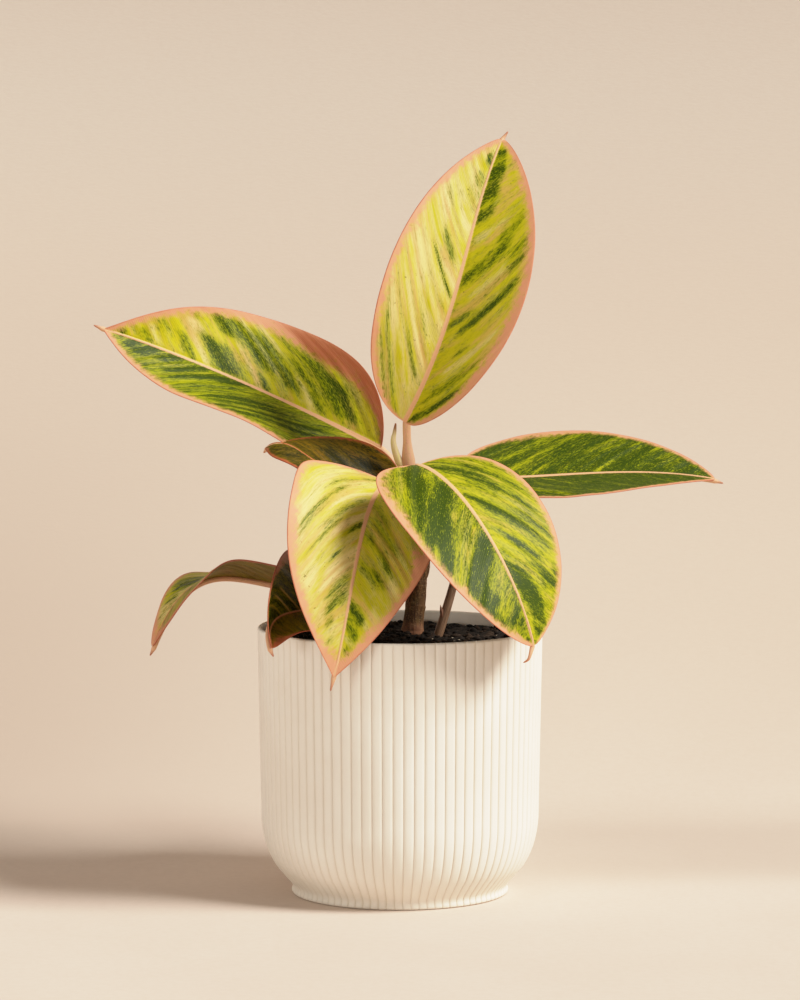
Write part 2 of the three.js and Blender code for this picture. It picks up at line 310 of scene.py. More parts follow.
def makePot(material):
    p = potSize
    bm = bmesh.new()
    profile = potProfile()
    groove = bm.verts.layers.float.new("grooveDepth")
    chain = [bm.verts.new((radius, 0, z)) for radius, z, _ in profile]
    for v, (_, _, ribbed) in zip(chain, profile):
        v[groove] = ribbed
    edges = [bm.edges.new(pair) for pair in zip(chain, chain[1:])]
    places = len(p["ribPlaces"])
    steps = p["ribs"] * places
    bmesh.ops.spin(
        bm, geom=chain + edges, cent=(0, 0, 0), axis=(0, 0, 1), angle=2 * math.pi, steps=steps, use_merge=True
    )
    bmesh.ops.remove_doubles(bm, verts=bm.verts, dist=0.0005)
    first = math.radians(p["firstGroove"]) - math.pi / 2
    for v in bm.verts:
        radius = math.hypot(v.co.x, v.co.y)
        if radius < 0.01:
            continue
        step = round(math.atan2(v.co.y, v.co.x) / (2 * math.pi) * steps) % steps
        share = p["ribPlaces"][step % places]
        turn = first + 2 * math.pi * (step // places + share) / p["ribs"]
        v[groove] *= 1 - ribHeight(share)
        radius -= p["ribDepth"] * v[groove] * radius / p["rimRadius"]
        v.co.x = radius * math.cos(turn)
        v.co.y = radius * math.sin(turn)
    finishPiece("ribbedPot", bm, [material], "pot", "pot")


def potFinish():
    f = Finish("warm white matte pot")
    place = f.coordinates()
    x, y, z = place.parts()
    cloud = f.noise(place, 22, 4, 0.6)
    grain = f.noise(place, 1800, 2, 0.6)
    layers = f.noise(f.vector(x * 60, y * 60, z * 2600), 1, 1)  # faint rows across the wall
    dust = f.noise(place, 260, 3, 0.7).step(0.62, 0.8)
    low = z.step(0.03, 0.0)
    fromAxis = (x * x + y * y) ** 0.5
    innerWallShade = (fromAxis - 0.0665).step(0.0008, -0.0005) * z.step(0.1, 0.131)  # painted shade on the inner wall near the rim
    colour = f.mix(cloud.step(0.35, 0.7), tint(237, 229, 216), tint(243, 237, 226))
    colour = f.mix(low * 0.25 + dust * 0.12, colour, tint(214, 199, 176))
    colour = f.mix(innerWallShade * 0.25, colour, tint(226, 214, 196))
    # painted shade: the grooves between the ribs are darkened
    colour = f.mix(f.attribute("grooveDepth", "Fac") * 0.3, colour, tint(176, 158, 132))
    roughness = 0.42 + cloud * 0.1 + grain * 0.08
    normal = f.bump(grain * 0.5 + layers * 0.5, 0.12, 0.0004)
    return f.surface(colour, roughness, normal, shine=0.45)


# The potting soil: uneven ground with crumbs of bark, peat and a few light specks

soilSize = {
    "top": 126.5,
    "relief": 0.8,
    "radius": 66.6,
    "rows": 150,
    "lump": 1.5,
    "depth": 30,
    "sunk": 0.6,
    "mounds": [(6, 3, 1.6, 120), (-12, -2, 1.4, 60)],  # x, y, height and breadth squared
    "crumbs": 620,
    "specks": 60,
    "crumbRadius": (0.7, 2.3),
    "speckRadius": (0.35, 0.7),
    "edgeGap": 3,
    "stemReach": 24,
    "stemPlace": (-6, -2),
    "seed": 4,
}


def groundHeight(x, y):
    p = soilSize
    swell = math.sin(0.11 * x + 1.3) * math.cos(0.13 * y - 0.4) + 0.5 * math.sin(0.31 * x - 0.23 * y)
    lumps = noise.fractal(Vector((x * 0.3, y * 0.3, 2)), 1, 2.1, 5)
    mound = 0
    for atX, atY, tall, breadth in p["mounds"]:
        mound += tall * math.exp(-((x - atX) ** 2 + (y - atY) ** 2) / breadth)
    return p["top"] + p["relief"] * swell + p["lump"] * lumps * 0.55 + mound - p["sunk"]


def makeSoil(material):
    p = soilSize
    bm = bmesh.new()
    made = bmesh.ops.create_grid(bm, x_segments=p["rows"], y_segments=p["rows"], size=1)["verts"]
    for v in made:  # the square is drawn out to a disc
        x = v.co.x * math.sqrt(1 - v.co.y**2 / 2) * p["radius"]
        y = v.co.y * math.sqrt(1 - v.co.x**2 / 2) * p["radius"]
        sink = 1.2 * eased(math.hypot(x, y), p["radius"] - 3, p["radius"])
        v.co = (x, y, groundHeight(x, y) - sink)
    border = [edge for edge in bm.edges if edge.is_boundary]
    skirt = bmesh.ops.extrude_edge_only(bm, edges=border)["geom"]
    low = [g for g in skirt if isinstance(g, bmesh.types.BMVert)]
    for v in low:
        v.co.z = p["top"] - p["depth"]
    bmesh.ops.holes_fill(bm, edges=[g for g in skirt if isinstance(g, bmesh.types.BMEdge) and g.is_boundary])
    finishPiece("pottingSoil", bm, [material], "soil", "soil")


def makeCrumbs(material):
    p = soilSize
    draw = random.Random(p["seed"])
    bm = bmesh.new()
    shade = bm.verts.layers.float.new("crumbShade")
    for k in range(p["crumbs"]):
        light = k >= p["crumbs"] - p["specks"]
        spread = p["radius"] - p["edgeGap"]
        near = not light and k % 4 == 0  # a quarter of them lie round the stem
        reach = p["stemReach"] if near else spread
        turn = draw.uniform(0, 2 * math.pi)
        radius = reach * math.sqrt(draw.random())
        x = radius * math.cos(turn) + (p["stemPlace"][0] if near else 0)
        y = radius * math.sin(turn) + (p["stemPlace"][1] if near else 0)
        size = draw.uniform(*p["speckRadius" if light else "crumbRadius"])
        made = bmesh.ops.create_icosphere(bm, subdivisions=1, radius=size)["verts"]
        stretch = Vector((draw.uniform(0.7, 1.6), draw.uniform(0.5, 1.1), draw.uniform(0.35, 0.8)))
        spin = draw.uniform(0, math.pi)
        tone = 1 if light else draw.uniform(0, 0.72)
        for v in made:
            rough = 1 + 0.55 * noise.noise(v.co * 0.9 + Vector((k * 3.7, 0, 0)))
            flat = v.co * rough * stretch
            v.co.x = x + flat.x * math.cos(spin) - flat.y * math.sin(spin)
            v.co.y = y + flat.x * math.sin(spin) + flat.y * math.cos(spin)
            v.co.z = groundHeight(x, y) + size * 0.25 + flat.z
            v[shade] = tone
    finishPiece("soilCrumbs", bm, [material], "soil")


def soilFinish():
    f = Finish("dark potting soil")
    place = f.coordinates()
    grain = f.noise(place, 700, 4, 0.7)
    clods = f.noise(place, 160, 3, 0.6)
    fibre = f.cells(place, 420)
    colour = f.mix(grain.step(0.35, 0.7), tint(11, 9, 8), tint(34, 27, 21))
    colour = f.mix(clods.step(0.55, 0.75) * 0.5, colour, tint(60, 44, 30))
    colour = f.mix(fibre.step(0.1, 0.02) * 0.35, colour, tint(120, 94, 64))
    return f.surface(colour, 0.85 + grain * 0.12, f.bump(grain + fibre * 0.6, 0.9, 0.0012), shine=0.2)


def crumbFinish():
    f = Finish("bark and peat crumbs")
    shade = f.attribute("crumbShade").parts()[0]
    place = f.coordinates()
    grain = f.noise(place, 1100, 3, 0.65)
    colour = f.mix(shade.step(0.1, 0.7), tint(10, 8, 7), tint(50, 38, 28))
    colour = f.mix(shade.step(0.8, 0.95), colour, tint(196, 182, 160))
    colour = f.mix(grain.step(0.4, 0.75) * 0.5, colour, tint(44, 30, 20))
    return f.surface(colour, 0.8 + grain * 0.15, f.bump(grain, 0.7, 0.0006), shine=0.25)


# The main stem: bark with old leaf scars, and a torn notch on its right

stemSize = {
    "middle": [(6, 2, 101), (6, 2.5, 126.5), (8.5, 4, 148), (10.5, 6.5, 164), (9, 8.5, 180), (6.5, 10, 192)],
    "radii": [4.2, 5.2, 4.6, 4.4, 4.3, 4],
    "steps": 220,
    "sides": 56,
    "scars": 9,
    "scarSwell": 0.35,
    "notch": {"height": 143, "turn": -0.2, "tall": 3.2, "wide": 0.55, "deep": 0.3},
}


def makeStem(material):
    p = stemSize
    bm = bmesh.new()
    points = [splinePoint(p["middle"], i / p["steps"]) for i in range(p["steps"] + 1)]
    radii = [listPlace(p["radii"], i / p["steps"]) for i in range(p["steps"] + 1)]
    radii[0] = radii[-1] = 0
    cut = p["notch"]

    def section(share, turn):
        height = mixed(p["middle"][0][2], p["middle"][-1][2], share)
        ring = share * p["scars"]
        slant = 0.12 * math.cos(turn + 2.4 * int(ring))
        swell = hump(ring - round(ring) + slant, 0, 0.12) * p["scarSwell"] / 4.4
        around = Vector((math.cos(turn) * 1.6, math.sin(turn) * 1.6, height * 0.12))
        bark = 0.035 * noise.fractal(around, 1, 2, 3) + 0.03 * noise.noise(around * Vector((4, 4, 0.8)))
        side = math.atan2(math.sin(turn - cut["turn"]), math.cos(turn - cut["turn"]))
        bite = hump(height, cut["height"], cut["tall"]) * hump(side, 0, cut["wide"]) * cut["deep"]
        jag = 1 + 0.5 * noise.noise(Vector((turn * 3, height * 1.1, 5)))
        return 1 + swell + bark - bite * jag

    rollTube(bm, pathFrames(points, radii), p["sides"], section)
    finishPiece("mainStem", bm, [material], "stem", "stem")


def barkFinish():
    f = Finish("brown stem bark")
    place = f.coordinates()
    x, y, z = place.parts()
    fibre = f.noise(f.vector(x, y, z * 0.12), 900, 3, 0.6)
    speckle = f.noise(place, 1300, 2, 0.5)
    patch = f.noise(place, 120, 3, 0.6)
    colour = f.mix(fibre.step(0.3, 0.7), tint(62, 42, 26), tint(118, 86, 54))
    colour = f.mix(speckle.step(0.56, 0.64) * 0.6, colour, tint(148, 118, 84))
    colour = f.mix(patch.step(0.5, 0.75) * 0.5, colour, tint(96, 84, 44))
    colour = f.mix(z.step(0.136, 0.128) * 0.5, colour, tint(168, 116, 92))
    return f.surface(colour, 0.62 + fibre * 0.2, f.bump(fibre + speckle * 0.5, 0.6, 0.0007), shine=0.3)


# The leaves. Each has a petiole, four points that bend the blade's middle line, the way its upper
# face looks at base and tip, and for its two halves the width, widest place, fullness, folds, curl,
# darkness, paleness, margin in mm and a brown tint, which is partly pigment and partly painted shade.
# A streak follows one side vein: where that vein leaves the midrib, which half, from and to across
# that half, breadth in mm and strength. Lean turns the side veins towards the tip.

bladeSize = {
    "columns": 88,
    "rows": 170,
    "halfThick": 0.26,
    "leastHalfWidth": 0.3,
    "veinSlope": 0.75,
    "veinBend": 0.55,
    "ridge": 0.3,
    "furrow": 0.16,
    "swell": 0.24,
    "swellPitch": 11,
    "swellDrift": 7,
    "swellChange": 1.2,
    "ripplePitch": 21,
    "edgeWave": 0.5,
    "wavePitch": 17,
    "streakBreadth": 1.25,
    "ends": (0.0004, 0.996),  # where the first and last rows lie along the middle line
}
ribSize = {
    "sides": 18,
    "petioleSteps": 46,
    "bladeSteps": 90,
    "dripSteps": 8,
    "tipRadius": 1.25,
    "dripRadius": 0.28,
    "lift": 0.3,
    "tearSteps": 12,
    "tearRadius": 1.1,
}

plainLeaf = {  # what a leaf has where its own entry says nothing else
    "sheathEnd": 0.4,
    "woody": 0.5,
    "lean": (1, 1),
    "paleness": (0, 0),
    "brownAndShade": (0, 0),
    "brown": [],
    "hook": [],
}
leaves = {
    "leaf_top": {
        "petiole": [(6.5, 10, 188), (5, 10.5, 200), (3.2, 8.5, 218)],
        "petioleRadii": (3.4, 2),
        "sheathEnd": 0.72,
        "middle": [(2.5, 6.5, 231.5), (30, -2.5, 284), (32, 11, 327.5), (50.5, 35, 370)],
        "face": [(0.15, -0.6, 0.8), (0.05, -0.65, 0.75)],
        "width": (37.5, 38.5),
        "widest": (0.38, 0.425),
        "full": (1.3, 1.2),
        "fold": [(31, 31), (8, 8)],
        "curl": (6.5, 5),
        "drip": (53.5, 37, 373.5),
        "lean": (1.5, 1),
        "darkness": (0.1, 0.2),
        "paleness": (0.55, 0.14),
        "margin": (2.8, 2.8),
        "dark": [
            (0.7, 1, 0.02, 0.25, 3, 0.8), (0.78, 1, 0.02, 0.3, 4.5, 1), (0.86, 1, 0.05, 0.4, 4.5, 1),
            (0.93, 1, 0.1, 0.5, 3, 0.9), (0.87, 1, 0.82, 0.9, 1.2, 1.2), (0.8, 1, 0.86, 0.96, 2, 1),
            (0.49, 1, 0.05, 0.6, 4, 0.7), (0.55, 1, 0.45, 0.8, 4, 0.55), (0.33, 1, 0.06, 0.3, 1.8, 0.9),
            (0.28, 1, 0.25, 0.8, 2.2, 0.8), (0.36, 1, 0.68, 0.9, 3, 0.6), (0.07, 1, 0.25, 0.75, 3, 0.55),
            (0, 1, 0.3, 0.8, 2.2, 0.9), (0.43, 1, 0.65, 0.95, 3, 0.55), (0.19, 1, 0.36, 0.42, 1, 1),
            (0.9, -1, 0.05, 0.3, 3.5, 0.9), (0.82, -1, 0.05, 0.25, 4, 0.5),
            (0.73, -1, 0.03, 0.3, 3.5, 0.35),
            (0.51, -1, 0.15, 0.4, 3.2, 0.7), (0.42, -1, 0.04, 0.5, 1.3, 0.8), (0.36, -1, 0.1, 0.14, 1, 1.1),
            (0.11, -1, 0.2, 0.5, 1.8, 0.75), (0.22, -1, 0.2, 0.42, 1.8, 0.4),
            (0.62, -1, 0.45, 0.7, 3, 0.35),
            (-0.04, -1, 0.45, 0.85, 3, 0.6), (-0.1, -1, 0.6, 0.9, 2.2, 0.6), (0.08, -1, 0.6, 0.85, 2, 0.35),
        ],
        "pale": [
            (0.3, -1, 0.5, 0.9, 6, 0.5), (0.58, -1, 0.5, 0.9, 5, 0.5), (0.46, -1, 0.02, 0.2, 1.6, 0.6),
            (0.65, -1, 0, 0.25, 1.6, 0.6), (0.16, -1, 0.15, 0.6, 1.6, 0.6), (0.02, -1, 0.7, 1, 3, 0.5),
            (0.61, 1, 0.1, 0.5, 2.5, 0.35), (0.4, 1, 0.2, 0.6, 3, 0.4), (0.14, 1, 0.3, 0.8, 3, 0.5),
        ],
        "blush": [(0.1, 1, 0.8, 1, 26, 0.18), (0.7, 1, 0.55, 0.8, 5, 0.12), (0.32, -1, 0.7, 0.9, 5, 0.12)],
    },
    "leaf_left": {
        "petiole": [(8.5, 9, 182), (9, 24, 187), (2, 38, 206)],
        "petioleRadii": (2.8, 1.9),
        "middle": [(-9.5, 37, 216), (-46.5, 52, 234), (-110, 39.5, 264.5), (-146.5, 21, 276.5)],
        "face": [(-0.77, -0.25, 0.58), (0.96, -0.07, -0.25)],
        "width": (38, 40),
        "widest": (0.43, 0.39),
        "full": (1.75, 1.8),
        "fold": [(18, 18), (16, 16)],
        "curl": (1, 7.5),
        "drip": (-151, 19, 278.5),
        "lean": (2, 1),
        "darkness": (0.8, 0.2),
        "paleness": (0, 0.22),
        "margin": (2.2, 2.8),
        "dark": [
            (0.93, 1, 0.1, 0.5, 2.2, 0.8), (0.84, 1, 0.1, 0.5, 2.6, 0.5), (0.68, 1, 0.05, 0.45, 2.6, 0.6),
            (0.75, 1, 0.45, 0.75, 4, 0.3), (0.57, 1, 0.05, 0.5, 4, 0.75), (0.52, 1, 0.05, 0.42, 5, 0.85),
            (0.45, 1, 0.6, 0.92, 4.5, 0.8), (0.38, 1, 0.3, 0.85, 4.5, 0.75), (0.41, 1, 0.02, 0.2, 1.8, 0.8),
            (0.3, 1, 0.2, 0.75, 5, 0.8), (0.22, 1, 0.1, 0.6, 2.6, 0.6), (0.15, 1, 0.15, 0.7, 4.5, 0.75),
            (0.09, 1, 0.2, 0.6, 4, 0.7), (0.57, 1, 0.8, 0.93, 4, 0.7), (0.2, 1, 0.7, 0.88, 3, 0.5),
            (0.87, -1, 0.05, 0.4, 2.6, 0.8), (0.8, -1, 0.06, 0.45, 3, 0.9), (0.72, -1, 0, 0.3, 3, 0.9),
            (0.61, -1, 0.05, 0.5, 2.4, 0.8), (0.53, -1, 0.1, 0.6, 2.6, 0.8), (0.48, -1, 0, 0.22, 2.4, 0.7),
            (0.27, -1, 0.3, 0.72, 2.4, 0.85), (0.2, -1, 0.35, 0.75, 2.6, 0.8),
            (0.1, -1, 0.3, 0.75, 2.6, 0.7),
            (0.02, -1, 0.45, 0.9, 3, 0.6), (0.1, -1, 0.82, 0.92, 2, 1), (0.63, -1, 0.86, 0.93, 1, 1),
        ],
        "pale": [
            (0.63, 1, 0.05, 0.5, 1.8, 0.7), (0.6, 1, 0.55, 0.8, 4, 0.8), (0.44, 1, 0.05, 0.5, 1.4, 0.6),
            (0.34, 1, 0.3, 0.9, 1.8, 0.6), (0.25, 1, 0.04, 0.35, 2.4, 0.6), (0.26, 1, 0.6, 0.95, 2, 0.6),
            (0.37, -1, 0.5, 0.9, 2.6, 0.4), (0.8, 1, 0.1, 0.6, 2, 0.4),
        ],
        "blush": [(0.05, 1, 0.7, 1, 16, 0.7), (0.25, 1, 0.85, 1, 8, 0.3), (0.6, 1, 0.6, 0.75, 3, 0.1)],
        "brown": [(-0.08, 1, 0.3, 1, 14, 0.8), (0.08, 1, 0.72, 1, 9, 0.6), (0.5, 1, 0.93, 1, 14, 0.3)],
    },
    "leaf_small": {
        "petiole": [(9.5, 8, 172), (-6, 15, 176), (3, 19, 200)],
        "petioleRadii": (2.4, 1.5),
        "middle": [(0.5, 15, 204), (-37.5, -1.5, 193), (-49.5, -21, 233), (-65.5, -10, 220)],
        "face": [(0.4, -0.75, 0.5), (-0.45, 0.05, 0.9)],
        "width": (24, 26.5),
        "widest": (0.54, 0.37),
        "full": (1.8, 1.1),
        "fold": [(15, 15), (-14, -14)],
        "curl": (-10.5, -4.5),
        "drip": (-66.5, -8.5, 217.5),
        # its darkness and brown tint are partly its own colour and partly painted shade, where the front
        # leaves shadow it
        "darkness": (0.95, 0.75),
        "paleness": (0.1, 0),
        "margin": (1.3, 1.2),
        "brownAndShade": (0.9, 1),
        "dark": [(0.3, 1, 0.2, 0.62, 4, 0.7), (0.12, 1, 0.3, 0.5, 4, 0.6), (0.55, 1, 0.1, 0.6, 3, 0.3)],
        "pale": [
            (0.66, -1, 0.1, 0.8, 0.6, 0.9), (0.72, -1, 0.1, 0.8, 0.6, 0.9), (0.6, -1, 0.2, 0.9, 0.6, 0.9),
        ],
        "blush": [(0.95, -1, 0.5, 1, 5, 0.2)],
    },
    "leaf_front_left": {
        "petiole": [(10, 7, 168), (-4, 3, 170), (-4, 4, 194)],
        "petioleRadii": (2.8, 1.9),
        "sheathEnd": 0.35,
        "middle": [(-4.5, 2, 201.5), (-19.5, -38, 204), (-21.5, -72, 155), (-31.5, -75, 115.5)],
        "face": [(0.2, 0.75, 0.65), (0, -1, 0)],
        "width": (36, 41.5),
        "widest": (0.4, 0.38),
        "full": (1.85, 1.75),
        "fold": [(8, 27), (5, 5)],
        "curl": (10, 3.5),
        "drip": (-33, -75.5, 109.5),
        "lean": (1.2, 1.4),
        "darkness": (0.16, 0.1),
        "paleness": (0.3, 0.5),
        "margin": (3.2, 3),
        "dark": [
            (0.02, 1, 0.2, 0.6, 2.6, 0.5), (0.09, 1, 0.4, 0.85, 2, 0.75), (0.13, 1, 0.5, 0.8, 1.6, 0.5),
            (0.23, 1, 0.1, 0.5, 2.2, 0.5), (0.28, 1, 0.3, 0.75, 2, 0.5), (0.37, 1, 0.02, 0.2, 1.9, 0.9),
            (0.44, 1, 0.27, 0.34, 1.1, 1.2), (0.6, 1, 0.08, 0.4, 3.4, 0.6), (0.67, 1, 0.08, 0.42, 3.4, 0.7),
            (0.73, 1, 0.3, 0.5, 2.4, 0.6), (0.82, 1, 0.3, 0.6, 1.8, 0.4), (0.38, 1, 0.5, 0.8, 2, 0.3),
            (0.25, -1, 0.03, 0.3, 2.6, 0.6), (0.31, -1, 0.1, 0.5, 2.6, 0.5),
            (0.4, -1, 0.05, 0.45, 3.4, 0.5),
            (0.42, -1, 0.42, 0.56, 1.4, 0.8), (0.5, -1, 0.3, 0.52, 1.6, 0.8), (0.53, -1, 0.05, 0.4, 3, 0.5),
            (0.72, -1, 0.04, 0.4, 3.6, 1), (0.79, -1, 0.04, 0.5, 3, 0.9), (0.87, -1, 0.2, 0.55, 2, 0.8),
            (0.1, -1, 0.2, 0.7, 4, 0.5),
        ],
        "pale": [
            (0.17, 1, 0.08, 0.45, 1, 0.9), (0.32, 1, 0.02, 0.35, 1.6, 0.8), (0.49, 1, 0.02, 0.4, 1.6, 0.8),
            (0.54, 1, 0.02, 0.5, 2, 0.7), (0.4, 1, 0.6, 0.95, 8, 0.5), (0.1, 1, 0.82, 1, 10, 0.7),
            (0, 1, 0.6, 1, 10, 0.4), (0.46, -1, 0.6, 0.9, 4, 0.5), (0.64, -1, 0.5, 0.9, 4, 0.4),
        ],
        "blush": [
            (0.1, 1, 0.86, 1, 12, 0.25), (0.75, -1, 0.6, 1, 6, 0.2), (0.93, 1, 0, 1, 9, 0.35),
            (0.96, -1, 0, 1, 6, 0.35), (0.2, -1, 0.72, 1, 7, 0.5), (0.5, 1, 0.75, 0.95, 8, 0.08),
        ],
    },
    "leaf_front_right": {
        "petiole": [(9.5, 8, 178), (15, -1, 184), (6, -11, 215)],
        "petioleRadii": (2.8, 1.9),
        "sheathEnd": 0.35,
        "middle": [(9, -20, 212.5), (30.5, -45.5, 209), (56.5, -74, 163.5), (63.5, -68.5, 130)],
        "face": [(0.05, -0.25, 0.95), (0.55, -0.7, 0.45)],
        "width": (41.5, 44.5),
        "widest": (0.43, 0.33),
        "full": (1.1, 1.2),
        "fold": [(5, 5), (-9, -9)],
        "curl": (3.5, 2.5),
        "drip": (61, -71, 124.5),
        "hook": [(58.2, -71.5, 122.6)],
        "darkness": (0.6, 0.72),
        "margin": (2.1, 2.4),
        "dark": [
            (0, 1, 0.15, 0.6, 4.4, 0.8), (0.06, 1, 0.3, 0.85, 4.4, 0.55), (0.2, 1, 0.08, 0.75, 5, 1),
            (0.14, 1, 0.4, 0.9, 2.6, 0.5), (0.27, 1, 0.4, 0.9, 3.6, 0.75), (0.31, 1, 0.7, 0.93, 2, 0.8),
            (0.5, 1, 0.05, 0.8, 4, 0.85), (0.56, 1, 0.1, 0.5, 3, 0.6), (0.6, 1, 0.5, 0.9, 3, 0.85),
            (0.66, 1, 0.5, 0.9, 2.4, 0.7), (0.82, 1, 0.12, 0.5, 1.6, 0.9), (0.87, 1, 0.08, 0.3, 1.4, 0.6),
            (0.75, 1, 0.62, 0.85, 2.4, 0.5), (0.95, 1, 0.3, 0.5, 1, 0.9), (0.68, 1, 0.42, 0.5, 2, 0.9),
            (0.05, -1, 0.1, 0.6, 2.6, 0.55), (0.09, -1, 0.2, 0.8, 1.8, 0.55),
            (0.28, -1, 0.1, 0.78, 1.9, 0.85),
            (0.31, -1, 0.2, 0.6, 1.8, 0.55), (0.45, -1, 0.28, 0.6, 1.5, 0.8), (0.51, -1, 0.5, 0.9, 2, 0.45),
            (0.55, -1, 0.6, 0.85, 2, 0.9), (0.45, -1, 0.86, 0.96, 1.6, 1.1),
            (0.63, -1, 0.02, 0.3, 2.4, 0.7),
            (0.69, -1, 0.04, 0.42, 3.4, 0.95), (0.76, -1, 0.08, 0.55, 4.2, 0.85),
            (0.83, -1, 0.2, 0.7, 3, 0.6),
            (0.91, -1, 0.2, 0.6, 2.4, 0.7), (0.2, -1, 0.6, 0.9, 2, 0.4), (-0.02, -1, 0.4, 0.8, 2, 0.4),
        ],
        "pale": [
            (0.38, 1, 0.1, 0.6, 3, 0.5), (0.43, 1, 0.3, 0.9, 3, 0.45), (0.73, 1, 0, 0.5, 3.4, 0.4),
            (0.6, -1, 0.2, 0.6, 3.4, 0.5), (0.15, -1, 0.5, 0.8, 2.4, 0.6), (0.22, -1, 0.05, 0.5, 2, 0.3),
            (0.36, -1, 0.3, 0.8, 2, 0.35), (0.25, -1, 0.75, 0.9, 2, 0.5),
        ],
        "blush": [(-0.1, 1, 0.7, 1, 12, 0.2), (0.44, 1, 0.7, 0.9, 3, 0.12), (0.9, 1, 0.6, 1, 5, 0.15)],
    },
    "leaf_right": {
        "petiole": [(10.5, 8, 101), (22, 8, 136), (38, 8, 178)],
        "petioleRadii": (2.3, 1.9),
        "woody": 1.6,
        "tear": [(22, 7.6, 129), (20.9, 7, 136), (19.8, 6.4, 141.5)],
        "sheathEnd": 0.5,
        "middle": [(30, 11.5, 204.5), (64, 23, 199.5), (110, 28.5, 210), (157, 32.5, 201)],
        "face": [(-0.25, -0.35, 0.9), (0.35, -0.4, 0.85)],
        "width": (36, 36),
        "widest": (0.39, 0.39),
        "full": (1.3, 1.35),
        "fold": [(4, 4), (14, 14)],
        "curl": (4, 4),
        "drip": (161, 33, 199),
        "lean": (1.2, 1.2),
        "darkness": (1.28, 1.36),
        "margin": (1.4, 1.3),
        "dark": [
            (0.16, -1, 0.15, 0.92, 2.4, -0.55), (0.05, -1, 0.5, 0.95, 4, -0.4),
            (0.36, -1, 0.5, 0.9, 2, -0.5),
            (0.43, -1, 0.55, 0.85, 2.4, -0.5), (0.28, -1, 0, 0.3, 2, -0.5), (0.21, -1, 0, 0.5, 1.6, -0.45),
            (0.53, -1, 0, 0.35, 0.9, -0.7), (0.7, -1, 0.5, 0.9, 1.8, -0.5),
            (0.76, -1, 0.3, 0.75, 1.6, -0.4),
            (0.62, -1, 0.7, 0.92, 1.8, -0.45), (0.5, -1, 0.7, 0.95, 1.6, -0.4),
            (0.86, -1, 0.6, 0.9, 2, -0.4),
            (0.1, 1, 0.2, 0.8, 2, -0.45), (0.2, 1, 0.3, 0.9, 2, -0.4), (0.42, 1, 0.5, 0.95, 1.6, -0.35),
            (0.68, 1, 0.4, 0.9, 1.8, -0.4), (0.02, 1, 0.4, 0.9, 3, -0.5), (0.3, 1, 0.1, 0.4, 1.2, -0.4),
        ],
        "pale": [(0.03, -1, 0.6, 0.95, 5, 0.4)],
        "blush": [(0, -1, 0.82, 1, 10, 0.12)],
    },
    "leaf_low_left": {
        "petiole": [(7.5, 4, 138), (5, 16, 138), (8, 24, 148.5)],
        "petioleRadii": (2.6, 1.8),
        "middle": [(2, 24, 147.5), (-70, 27, 133.5), (-95.5, 15.5, 186), (-122.5, 9.5, 119.5)],
        "face": [(0.35, 0.25, 0.9), (-0.9, -0.25, -0.4)],
        "width": (35, 36),
        "widest": (0.41, 0.43),
        "full": (1.35, 1.3),
        "fold": [(17, 17), (5, 5)],
        "curl": (-8.5, 5.5),
        "drip": (-123.5, 9.5, 115.5),
        "darkness": (0.4, 0.3),
        "paleness": (0.1, 0.3),
        "margin": (1.8, 2),
        "brownAndShade": (0.5, 0.2),
        "dark": [(0.7, 1, 0.1, 0.6, 3.4, 0.9), (0.64, 1, 0.2, 0.8, 4, 0.7), (0.78, 1, 0.3, 0.65, 2.4, 0.5)],
        "pale": [(0.84, 1, 0, 1, 8, 0.6), (0.75, 1, 0, 0.2, 2, 0.5)],
        "blush": [(0.97, 1, 0, 1, 10, 0.5), (0.97, -1, 0, 1, 8, 0.5)],
    },
    "leaf_low_dark": {
        "petiole": [(10, 6, 159), (7, -1, 157), (6.5, -4.5, 154.5)],
        "petioleRadii": (2.4, 1.7),
        "middle": [(2.5, -6, 152.5), (-38.5, -22, 133), (-68.5, -54, 155), (-61, -67, 128.5)],
        "face": [(-0.25, 0.05, 0.95), (0.7, -0.7, 0.2)],
        "width": (31.5, 31),
        "widest": (0.45, 0.44),
        "full": (1.2, 1.25),
        "fold": [(31, 31), (42, 42)],
        "curl": (14.5, 9),
        "drip": (-60, -68, 125),
        # its darkness and brown tint are partly its own colour and partly painted shade, where the leaf
        # stands in deep shade
        "darkness": (0.5, 0.95),
        "margin": (1.6, 1.6),
        "brownAndShade": (0.8, 0.6),
        "dark": [
            (0.68, 1, 0.02, 0.5, 0.8, -1), (0.61, 1, 0.02, 0.5, 0.8, -1), (0.75, 1, 0.05, 0.6, 0.7, -0.8),
        ],
        "pale": [
            (0.68, 1, 0.02, 0.5, 0.6, 0.8), (0.61, 1, 0.02, 0.5, 0.6, 0.8), (0.66, -1, 0, 0.25, 6, 0.5),
        ],
        "blush": [(0.4, 1, 0.8, 1, 14, 0.3), (0.93, -1, 0, 1, 6, 0.4), (0.95, 1, 0, 1, 5, 0.4)],
    },
}


def outline(s, widest, full):  # half width from base to tip, as a share of the widest
    s = min(max(s, 0.00001), 0.99999)
    body = (s / widest) ** widest * ((1 - s) / (1 - widest)) ** (1 - widest)
    return body**full


def bladeFrame(leaf, s):
    middle, ahead = curvePoint(leaf["middle"], s)
    base = Vector(leaf["face"][0]).normalized()
    tip = Vector(leaf["face"][1]).normalized()
    side = ahead.cross(base.lerp(tip, s)).normalized()
    return middle, side, side.cross(ahead)


